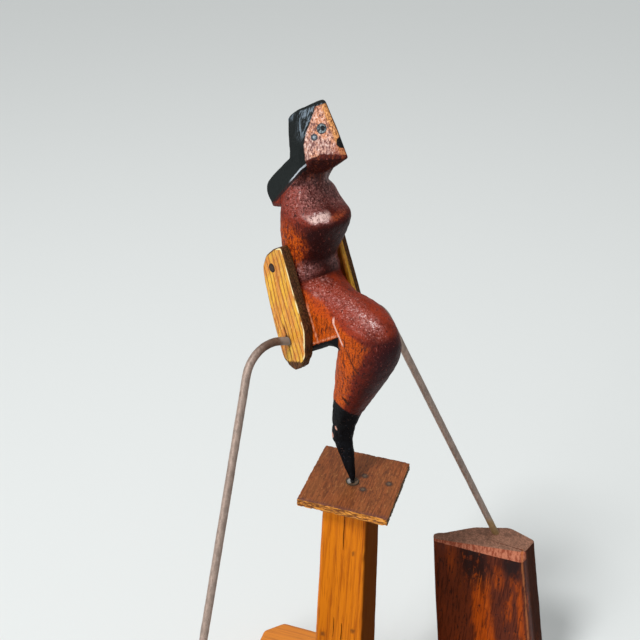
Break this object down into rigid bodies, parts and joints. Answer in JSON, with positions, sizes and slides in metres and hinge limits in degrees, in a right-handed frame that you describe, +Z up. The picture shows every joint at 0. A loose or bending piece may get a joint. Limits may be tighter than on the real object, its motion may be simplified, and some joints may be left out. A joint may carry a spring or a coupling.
{
  "type": "balancing kinetic sculpture",
  "caption": "Balancing folk-art sculpture: a carved wooden figure stands on one toe on a small platform on a post, held upright by low wooden weights on bent wires.",
  "frame": {"origin": "centre of the base board's underside", "axes": "+Z up; X and Y square to the base board, post and platform; the figure faces 32.4 degrees clockwise of +X seen from above"},
  "size_m": [0.1995, 0.2489, 0.4365],
  "materials": {
    "pine_base": "varnished pine, warm orange",
    "pine_post": "varnished pine, warm orange",
    "platform_wood": "oiled brown hardwood, worn edges",
    "carved_wood": "dark red stained carving, painted black in parts",
    "arm_wood": "bare yellow pine with coarse rings",
    "weight_wood": "polished dark hardwood, mottled",
    "wire_steel": "brown rusted wire",
    "nail_steel": "dark rusted nail heads",
    "pivot_steel": "worn bright steel"
  },
  "bodies": {
    "stand": {"base_board": "pine_base", "post": "pine_post", "post_screws": "nail_steel", "platform": "platform_wood", "platform_nails": "nail_steel", "platform_tack": "nail_steel"},
    "pivot": {"pivot_cup": "pivot_steel"},
    "tip": {"toe_ball": "pivot_steel"},
    "balancer": {"toe_pin": "pivot_steel", "figure": "carved_wood", "right_arm": "arm_wood", "left_arm": "arm_wood", "shoulder_nails": "nail_steel", "right_wire": "wire_steel", "left_wire": "wire_steel", "right_weight": "weight_wood", "left_weight": "weight_wood"}
  },
  "joints": [
    {"name": "spin", "type": "hinge", "parent": "stand", "child": "pivot", "pos_m": [0, 0, 0.2335], "axis": [0, 0, 1], "continuous": true},
    {"name": "rock_fore_aft", "type": "hinge", "parent": "pivot", "child": "tip", "pos_m": [0, 0, 0.2335], "axis": [0.5358, 0.8443, 0], "range_deg": [-15, 12]},
    {"name": "rock_side", "type": "hinge", "parent": "tip", "child": "balancer", "pos_m": [0, 0, 0.2335], "axis": [0.8443, -0.5358, 0], "range_deg": [-5, 5]}
  ]
}
